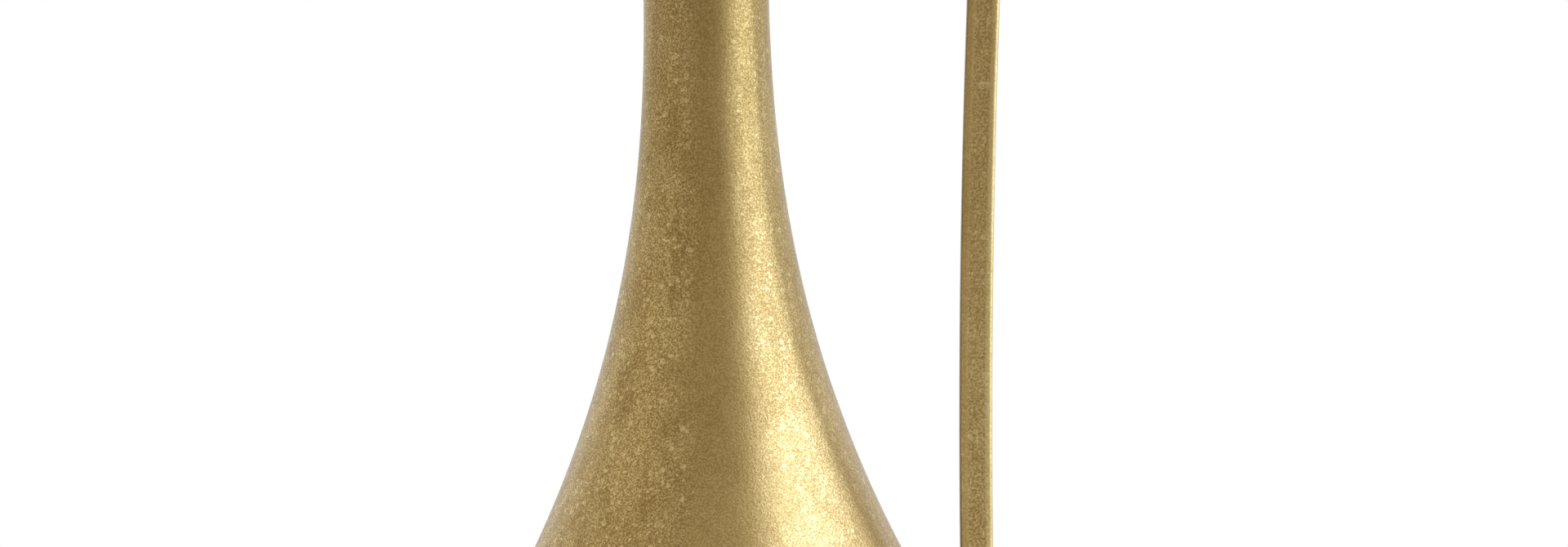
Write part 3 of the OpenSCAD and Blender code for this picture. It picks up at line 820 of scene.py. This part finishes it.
def bent_plate(path, z_mid, outline, thickness, edge):
    """A plate laid on a turned wall. outline is (along, across) from its middle, seen from outside."""
    rings, sink = 10, 0.2
    round_edge = (0.35, 0.8, 1.2)       # angles, in radians, of the rings round its soft edge
    mid_r, _ = wall_at(path, z_mid)
    scales = [k / rings for k in range(1, rings)] + [1 - edge * (1 - math.sin(a)) for a in round_edge]
    heights = [thickness] * (rings - 1) + [thickness - edge * 3 * (1 - math.cos(a)) for a in round_edge]

    def point(along, across, out):
        z = z_mid
        for _ in range(2):
            z = z_mid + along * wall_at(path, (z_mid + z) / 2)[1].x
        r, normal = wall_at(path, z)
        azimuth = across / mid_r
        r, z = r + out * normal.x, z + out * normal.y
        return (r * math.cos(azimuth), r * math.sin(azimuth), z)

    levels = [[point(a * s, b * s, h) for a, b in outline] for s, h in zip(scales, heights)]
    levels += [[point(a, b, -sink) for a, b in outline]]
    levels += [[point(a * s, b * s, -sink) for a, b in outline] for s in (0.66, 0.33)]
    return loft_mesh(levels)


def rod_mesh(radius, half, centre):
    """A plain round bar along Y."""
    steps = 48
    circle = arc(centre, radius, 0, 360 - 360 / steps, steps - 1)
    return loft_mesh([[(x, y, z) for x, z in circle] for y in (-half, half)])


CHEEK_IN, CHEEK_OUT = 3.1, 6.1
KNUCKLE_R = 3.5
PLATE_T = 2.0
RIVET_R, PIN_R = 1.25, 1.6
WALL_HEAD, LEAF_HEAD = (2.1, 1.1), (2.0, 1.1)       # radius and height of each kind of head
CROSS_HEAD, PIN_HEAD = (2.3, 1.2), (2.5, 1.1)
hinge_x, _, hinge_z = HINGE
bridge_z = sum(span_z("handle_top_rivets")) / 2


def make_hinge_bracket():
    cheek = [(29, 287), (40, 287.7)]
    cheek += arc((45.5, 291.5), 4.5, -60, 0, 10) + [(50, 298)]
    cheek += arc((46, 300), 4, 0, 60, 8)
    cheek += arc((hinge_x, hinge_z), KNUCKLE_R, -10, 190, 36)
    cheek += [(37.5, 304), (33, 303.6)]
    half_along, half_across = 12.2, 11.4
    saddle = rounded([(-half_along, -half_across), (half_along, -half_across),
                      (half_along, half_across), (-half_along, half_across)], 3.5, 8)
    saddle = resampled(saddle + saddle[:1], 0.8)[:-1]
    cheeks = both_sides(plate_mesh(cheek, CHEEK_IN, CHEEK_OUT))
    parts = [cheeks, bent_plate(cup_path, 294.4, saddle, PLATE_T, 0.12)]
    bracket = mesh_piece("hinge_bracket_casting", *joined(parts), POT, "cast_brass", ["hinge_bracket"])
    cast_together(bracket, 0.28, 3)
    mark_edges(bracket, 3, 0.6)


def dome_head(radius, height):
    """Half outline of a peened head, from its rim almost to its crown, a little flattened on top."""
    angles = np.linspace(0.0, math.pi / 2 - 1e-9, 9)
    return [(radius * math.cos(a) ** 0.8, height * math.sin(a) ** 0.9) for a in angles][:-1]


def rivet_mesh(grip, head, tail=0.0):
    """A rivet along Z with its head, (radius, height), above z = 0, and a flat tail past its grip."""
    foot = [(0, -grip)]
    if tail:
        tail_r = head[0] * 0.85
        foot = [(0, -grip - tail), (tail_r, -grip - tail), (tail_r, -grip)]
    outline = foot + [(RIVET_R, -grip), (RIVET_R, 0)] + dome_head(*head) + [(0, head[1])]
    return turned_mesh(rounded(outline, 0.12, 3), 40)


def peened_rod(radius, half, head, steps):
    """A rod along Y with the same head, (radius, height), at each end."""
    top = [(radius, half)] + [(r, half + h) for r, h in dome_head(*head)] + [(0, half + head[1])]
    outline = [(r, -z) for r, z in top[::-1]] + top
    verts, faces = turned_mesh(rounded(outline, 0.12, 3), steps)
    return [(x, z, y) for x, y, z in verts], faces


def wall_rivets(name, places, path, grip, node):
    """Rivets through a plate and the turned wall under it, at (height, azimuth in degrees)."""
    out = PLATE_T + 0.1
    parts = []
    for z, azimuth in places:
        r, normal = wall_at(path, z)
        a = math.radians(azimuth)
        reach = r + normal.x * out
        direction = (normal.x * math.cos(a), normal.x * math.sin(a), normal.y)
        origin = (reach * math.cos(a), reach * math.sin(a), z + normal.y * out)
        verts, faces = rivet_mesh(grip, WALL_HEAD, 0.5)
        parts.append((placed(verts, origin, direction), faces))
    rivets = mesh_piece(name, *joined(parts), POT, "worn_brass", [node])
    dented(rivets, 0.12, 1.6, 5)
    mark_edges(rivets, 2, 0.4)


def cross_rivets(name, places, half, node):
    """Rivets along Y with a head at each end, at (x, z)."""
    rod = peened_rod(RIVET_R, half, CROSS_HEAD, 40)
    rivets = mesh_piece(name, *joined([moved(rod, x, z) for x, z in places]), POT, "worn_brass", [node])
    dented(rivets, 0.12, 1.6, 6)
    mark_edges(rivets, 2, 0.4)


def make_hinge_pin():
    rod = peened_rod(PIN_R, CHEEK_OUT + 0.1, PIN_HEAD, 48)
    pin = mesh_piece("hinge_pin_peened", *moved(rod, hinge_x, hinge_z), POT, "worn_brass", ["hinge_pin"])
    dented(pin, 0.1, 1.8, 7)
    mark_edges(pin, 2, 0.4)


GRIP_X, GRIP_LEAN = 63.6, 4.35
BAR_W, BAR_BEND_W, BAR_T = 7.95, 9.1, 6.0
BAR_POINTS = 76                     # round its cross-section
LAND_X, LAND_Z, LAND_RUN = 65.50, 75.05, -1.789     # a point of the foot's cut, and the cut's slope
grip_top = np.array((GRIP_X + GRIP_LEAN, WAIST_Z - 6.75))
grip_foot = np.array((GRIP_X, 85.0))
grip_bow = np.array((GRIP_X, (grip_foot[1] + grip_top[1]) / 2))
BEND_X = GRIP_X + 7.9


def handle_line():
    """Middle line of the bar from the shoulder to the hinge bracket."""
    low = [(1 - t) ** 2 * grip_foot + 2 * t * (1 - t) * grip_bow + t * t * grip_top
           for t in np.linspace(0, 1, 200)]
    slope = (grip_top - grip_bow) / np.linalg.norm(grip_top - grip_bow)
    neck = bezier([grip_top, grip_top + 9 * slope, (BEND_X, 257), (BEND_X, 266)], 40)[1:]
    bend = bezier([(BEND_X, 266), (BEND_X, 284), (63, bridge_z), (50, bridge_z)], 90)[1:]
    return resampled([tuple(p) for p in low] + neck + bend + [(34.2, bridge_z)], 0.42)


def bar_outline(width):
    """Cross-section of the bar: (towards the outside, across), filed rounder on the outside."""
    a, b = width / 2, BAR_T / 2
    corners = [(0, -b), (a, -b), (a, b), (0, b)]
    outside = rounded(corners, 1.1, 7)
    inside = [(-x, y) for x, y in rounded(corners, 0.35, 4)][::-1]
    return resampled(outside + inside[1:], 0.36)[:-1]


def make_handle():
    line = np.array(handle_line())
    run = np.gradient(line, axis=0)
    run /= np.linalg.norm(run, axis=1)[:, None]
    # The bar grows wider towards its bend, and narrows again before the bracket
    wider = smooth_range(line[:, 1], 235.0, 285.0)
    after = np.clip((62 - line[:, 0]) / 12, 0, 1) * (line[:, 1] > 270)
    widths = BAR_W + (BAR_BEND_W - BAR_W) * wider * (1 - after)
    rings = []
    for point, ahead, width in zip(line, run, widths):
        side = np.array([ahead[1], -ahead[0]])
        section = resampled_closed(bar_outline(width), BAR_POINTS)
        rings.append([(point[0] + side[0] * q, -t, point[1] + side[1] * q) for q, t in section])
    # The foot is cut slantwise, to lie on the saddle
    section = resampled_closed(bar_outline(widths[0]), BAR_POINTS)
    foot = [(GRIP_X + q, -t, LAND_Z + (GRIP_X + q - LAND_X) * LAND_RUN) for q, t in section]
    rings[0:1] = [[tuple(np.array(a) * (1 - t) + np.array(b) * t) for a, b in zip(foot, rings[1])]
                  for t in np.linspace(0, 0.97, 24)]
    handle = mesh_piece("handle_bar", *loft_mesh(rings), POT, "cast_brass", ["handle"])
    cast_skin(handle, line, run)


def cast_skin(obj, line, run):
    """Flat sides with a sunken, pitted middle between filed borders.

    The outer side gets a painted highlight, and the side towards the neck painted shade.
    """
    mesh = obj.data
    co, normals = vertex_vectors(mesh, "co") / MM, vertex_vectors(mesh, "normal")
    side = np.stack([run[:, 1], -run[:, 0]], 1)
    nearest = np.concatenate([
        np.argmin(((block[:, None, [0, 2]] - line[None]) ** 2).sum(2), axis=1)
        for block in np.array_split(co, 40)])
    out = ((co[:, [0, 2]] - line[nearest]) * side[nearest]).sum(1)
    flat = smooth_range(np.abs(normals[:, 1]), 0.9, 0.98)
    sunken = flat * smooth_range(out, -2.5, -1.9) * smooth_range(-out, -2.5, -1.9)
    sunken *= smooth_range(co[:, 2], 98, 104) * smooth_range(-co[:, 2], -286, -278)
    for i, p in enumerate(co):
        p = Vector(p)
        pit = noise.noise(p / 1.1) + 0.5 * noise.noise(p / 0.7 + Vector((9, 2, 5)))
        lump = noise.noise(p / 3.4 + Vector((3, 8, 1)))
        wave = 0.5 + 0.5 * noise.noise(p / 14 + Vector((1, 4, 7)))
        depth = sunken[i] * (0.11 + 0.03 * pit + 0.03 * lump) + flat[i] * 0.02 * wave
        co[i] -= normals[i] * max(depth, 0)
    mesh.vertices.foreach_set("co", (co * MM).ravel())
    mesh.update()
    mark_edges(obj, 1, 0.7)
    wear_grime_and_painted_light = read_layer(mesh, "wear_grime_and_painted_light")
    # Painted highlight in two bands along the outer side, and painted shade on the edge towards the neck
    wear_grime_and_painted_light += 0.34 * smooth_range(out, 1.7, 2.4) + 0.10 * smooth_range(out, 3.0, 4.0)
    wear_grime_and_painted_light -= 0.65 * smooth_range(-out, 3.55, 3.85)
    write_layer(mesh, "wear_grime_and_painted_light", np.clip(wear_grime_and_painted_light, -1, 1))
    write_layer(mesh, "filed", smooth_range(np.abs(out), 1.8, 2.3))


def make_handle_saddle():
    half = BAR_W / 2 - 0.1
    cheek = [(56, 78), (72, 56.5), (72.3, 64), (GRIP_X + half, 76)]
    cheek += arc((GRIP_X, 95.5), half, 0, 180, 24) + [(GRIP_X - half, 88)]
    leaf = arc((-14, 0), 11.5, 120, 240, 24) + arc((10, 0), 12.5, -62, 62, 24)
    leaf = resampled(leaf + leaf[:1], 0.8)[:-1]
    parts = [both_sides(plate_mesh(cheek, CHEEK_IN, 5.6)), bent_plate(neck_path, 73.9, leaf, PLATE_T, 0.1)]
    saddle = mesh_piece("handle_saddle_casting", *joined(parts), POT, "cast_brass", ["handle_saddle"])
    cast_together(saddle, 0.3, 3)
    mark_edges(saddle, 3, 0.6)


# ---- Lid ------------------------------------------------------------------------------------

SHEET_T, DOME_T = 1.5, 1.4
dome_r = rim_r - 4.3
dome_top_r = 6.0
STUD_R = 1.6


def make_dome():
    base = flange_z + SHEET_T
    low = bezier([(dome_r, base), (dome_r, flange_z + 8), (dome_r - 4.5, flange_z + 13),
                  (dome_r - 12, flange_z + 16.5)], 36)
    high = bezier([(dome_r - 12, flange_z + 16.5), (dome_r - 18.5, flange_z + 19.6),
                   (dome_top_r + 0.8, dome_z - 8), (dome_top_r, dome_z)], 36)[1:]
    path = low + high
    inner = [(r, min(z, dome_z - DOME_T)) for r, z in shifted(path, -DOME_T)]
    outline = [(dome_r - DOME_T, flange_z), (flange_r - 0.6, flange_z)]
    outline += arc((flange_r - 0.75, flange_z + 0.75), 0.75, -75, 75, 10)
    outline += [(flange_r - 1.6, base), (dome_r + 1.6, base)] + path
    outline += [(STUD_R + FILM, dome_z), (STUD_R + FILM, dome_z - DOME_T)] + inner[::-1]
    dome = turned("dome", rounded(outline, 0.6), LID, "body_brass", ["lid_dome"], 224)
    dented(dome, 0.05, 12, 8)
    mark_edges(dome)


def make_lid_collar():
    low = box_mm("lid_collar")[0].z
    outer = box_mm("lid_collar")[1].x
    outline = [(outer, flange_z), (outer, low), (outer - 1, low), (outer - 1, flange_z)]
    ring = turned("lid_collar_ring", rounded(outline, 0.35), LID, "body_brass", ["lid_collar"], 192)
    mark_edges(ring)


leaf_z = box_mm("lid_hinge_leaf")[0].z
LEAF_T = 1.7
leaf_end = flange_r + 0.1


def make_hinge_leaf():
    plate = rounded([(31.4, -8.2), (leaf_end, -8.2), (leaf_end, 8.2), (31.4, 8.2)], 1.6, 8)
    flat = loft_mesh([[(x, y, z) for x, y in plate] for z in (leaf_z, leaf_z + LEAF_T)])
    web = [(leaf_end - 2, leaf_z), (leaf_end + 0.6, leaf_z), (hinge_x - 1, hinge_z - KNUCKLE_R + 0.2),
           (hinge_x, hinge_z), (hinge_x - 2, hinge_z + 2.5), (leaf_end - 1, leaf_z + LEAF_T),
           (leaf_end - 2, leaf_z + LEAF_T)]
    parts = [flat, plate_mesh(web, -2.9, 2.9), rod_mesh(KNUCKLE_R, 2.9, (hinge_x, hinge_z))]
    leaf = mesh_piece("hinge_leaf", *joined(parts), LID, "cast_brass", ["lid_hinge_leaf"])
    cast_together(leaf, 0.22, 2)
    mark_edges(leaf, 3, 0.6)


def make_leaf_rivets():
    verts, faces = rivet_mesh(LEAF_T + SHEET_T + 0.04, LEAF_HEAD)
    top = leaf_z + LEAF_T + 0.02
    parts = [([(x + 33.4, y + side, z + top) for x, y, z in verts], faces) for side in (-5.6, 5.6)]
    rivets = mesh_piece("leaf_rivets", *joined(parts), LID, "worn_brass", ["lid_leaf_rivets"])
    dented(rivets, 0.1, 1.6, 9)
    mark_edges(rivets, 2, 0.4)


def make_thumb_piece():
    """A horn that swells into a soft pad at its tip."""
    seat = leaf_z + LEAF_T + 0.02

    def from_pin(*points):
        return [(hinge_x + x, hinge_z + z) for x, z in points]

    outline = [(33.2, seat), (leaf_end - 1, seat)]
    outline += arc((hinge_x, hinge_z), KNUCKLE_R + FILM, 160, 70, 16)
    outline += bezier(from_pin((2.6, 4.2), (3.2, 9), (5, 14), (10.5, 19.5)), 28)[1:]
    outline += arc(*from_pin((9.6, 20.6)), 1.5, -40, 130, 12)
    outline += bezier(from_pin((8.6, 21.7), (2, 16), (-1.5, 10.5), (-4, 5.5)), 28)[1:]
    outline += [(33.2, seat + 1.2)]
    horn = mesh_piece("thumb_horn", *plate_mesh(outline, -2.5, 2.5), LID, "cast_brass", ["thumb_piece"])
    cast_together(horn, 0.22, 5)
    mark_edges(horn, 3, 0.6)


# ---- Finial ---------------------------------------------------------------------------------

def make_finial():
    bore = STUD_R + FILM
    low, high = span_z("finial_base")
    half = (high - low) / 2
    outline = [(bore, low), (dome_top_r, low), *arc((dome_top_r + 0.4, low + half), half, -80, 80, 18)]
    outline += [(dome_top_r - 1.2, high), (bore, high)]
    base = turned("finial_ring", rounded(outline, 0.15), LID, "worn_brass", ["finial_base"], 128)
    mark_edges(base)

    low, high = span_z("finial_bulb")
    rise = high - low
    side = bezier([(3.4, low), (9.6, low + 0.26 * rise), (7.6, low + 0.86 * rise), (2.9, high)], 48)
    groove = [(r - 0.16 * math.exp(-(((z - low) / rise - 0.46) / 0.035) ** 2), z) for r, z in side]
    bulb = turned("finial_knob", rounded([(bore, low), *groove, (bore, high)], 0.15), LID, "body_brass",
                  ["finial_bulb"], 128)
    mark_edges(bulb)

    low, high = span_z("finial_spire")
    outline = [(0, low + 5), (bore, low + 5), (bore, low), (2.9, low)]
    outline += arc((2.7, low + 1.4), 1.4, -80, 70, 14)
    outline += bezier([(2.9, low + 2.9), (2.6, low + 8), (1.5, low + 13), (1.3, high - 2.6)], 30)
    outline += arc((0, high - 1.7), 1.7, -40, 90, 16)
    outline[-1] = (0, high)
    spire = turned("finial_point", rounded(outline, 0.12), LID, "worn_brass", ["finial_spire"], 96)
    mark_edges(spire)


# ---- Everything is made ---------------------------------------------------------------------------

def keep_cad(*nodes):
    """CAD nodes whose shape is right get a patterned material, smooth shading and sharp edges."""
    slots = {entry["node"]: entry["material_slot"] for entry in frame["record"]["subparts"]}
    for name in nodes:
        obj = frame["nodes"][name]
        obj.data.materials.clear()
        obj.data.materials.append(MATERIALS[slots[name]])
        obj.data.shade_smooth()
        obj.data.set_sharp_from_angle(angle=math.radians(32))


make_neck()
make_bowl()
make_foot()
make_collar()
make_cup()
make_rim()
make_spout()
make_spout_wires()
make_hinge_bracket()
make_hinge_pin()
make_handle()
make_handle_saddle()
wall_rivets("bracket_rivets", [(288.6, 17.7), (288.6, -17.7), (300.6, 14.9), (300.6, -14.9)],
            cup_path, 3.85, "hinge_bracket_rivets")
wall_rivets("saddle_rivets", [(84.5, 8.6), (84.5, -8.6), (63.1, 6.8), (63.1, -6.8)],
            neck_path, 3.8, "handle_saddle_rivets")
cross_rivets("bracket_cross_rivets", [(38, bridge_z), (45, bridge_z)], CHEEK_OUT + 0.05, "handle_top_rivets")
cross_rivets("foot_cross_rivets", [(GRIP_X, 86), (GRIP_X, 94)], 5.65, "handle_foot_rivets")
make_dome()
make_lid_collar()
make_hinge_leaf()
make_leaf_rivets()
make_thumb_piece()
make_finial()
gather_grime(PIECES)
keep_cad("strainer", "finial_stud", "finial_washer", "finial_nut")


# ---- Floor and light ---------------------------------------------------------------------------

def make_floor():
    """A round pale floor that ends before it comes into the camera's view."""
    steps = 96
    angles = np.linspace(0, 2 * math.pi, steps, endpoint=False)
    verts = [(r * math.cos(a), r * math.sin(a), 0.0) for r in (0.02, 0.3, 1.1) for a in angles]
    faces = [list(range(steps))]
    for ring in (0, steps):
        for j in range(steps):
            a, b = ring + j, ring + (j + 1) % steps
            faces.append([a, b, b + steps, a + steps])
    mesh = bpy.data.meshes.new("floor")
    mesh.from_pydata(verts, [], faces)
    floor = bpy.data.objects.new("floor", mesh)
    bpy.context.scene.collection.objects.link(floor)
    paint = bpy.data.materials.new("floor_white")
    paint.use_nodes = True
    shader = paint.node_tree.nodes["Principled BSDF"]
    shader.inputs["Base Color"].default_value = (0.9, 0.9, 0.89, 1)
    shader.inputs["Roughness"].default_value = 0.9
    mesh.materials.append(paint)


ROOM_FRONT, ROOM_SIDE, ROOM_BACK = (0.37, 0.315, 0.245), (0.52, 0.46, 0.38), (0.80, 0.78, 0.75)
LAMP = (1.50, 1.53, 1.48), (2.80, 2.97, 3.40)               # at its foot and at its top
BEYOND_LAMP = (0.84, 0.81, 0.77), (1.12, 1.03, 0.91)        # low and high
CEILING = (1.28, 1.25, 1.20)
BACKDROP = (1.0, 1.0, 1.0)


def make_world():
    """White behind the pot for the camera; for the metal a dim warm room with a tall lamp to the right."""
    world = bpy.data.worlds.new("studio")
    bpy.context.scene.world = world
    world.use_nodes = True
    world.node_tree.nodes.clear()
    w = Graph(world.node_tree)
    x, y, z = w.split(w.new("ShaderNodeTexCoord").outputs["Generated"])

    # Degrees round the pot: 0 at the camera's side, growing to its right
    azimuth = w.maths("MULTIPLY", w.maths("ARCTAN2", x, w.maths("MULTIPLY", y, -1.0)), 180 / math.pi)
    aside = w.maths("ABSOLUTE", azimuth)
    room = w.mix(w.step(aside, 8, 75), ROOM_FRONT, ROOM_SIDE)
    room = w.mix(w.step(aside, 85, 175), room, ROOM_BACK)
    lift = w.new("ShaderNodeVectorMath")
    lift.operation = "SCALE"
    w.link(room, lift.inputs[0])
    w.link(w.step(z, 0.02, 0.28, 0.97, 1.40), lift.inputs["Scale"])

    # The lamp, and the wall beyond it, are brighter above
    lamp = w.mix(w.step(z, -0.02, 0.66), *LAMP)
    beyond = w.mix(w.step(z, 0.1, 0.5), *BEYOND_LAMP)
    bulge = w.maths("MULTIPLY", w.step(z, 0.12, 0.35, 0, -9), w.step(z, 0.48, 0.66, 1, 0))
    right = w.mix(w.step(w.maths("ADD", azimuth, bulge), 92, 119), lamp, beyond)
    lean = w.step(z, 0.0, 0.22, 8, 2)
    inner_side = w.step(w.maths("ADD", azimuth, lean), 28, 70)
    beside = w.maths("MULTIPLY", inner_side, w.step(azimuth, 140, 178, 1, 0))
    colour = w.mix(beside, lift.outputs["Vector"], right)
    colour = w.mix(w.step(z, 0.78, 0.98), colour, CEILING)
    seen = w.new("ShaderNodeLightPath").outputs["Is Camera Ray"]
    background = w.new("ShaderNodeBackground")
    w.link(w.mix(seen, colour, BACKDROP), background.inputs["Color"])
    w.link(background.outputs[0], w.new("ShaderNodeOutputWorld").inputs["Surface"])


make_floor()
make_world()
bpy.context.scene.view_settings.view_transform = "Standard"
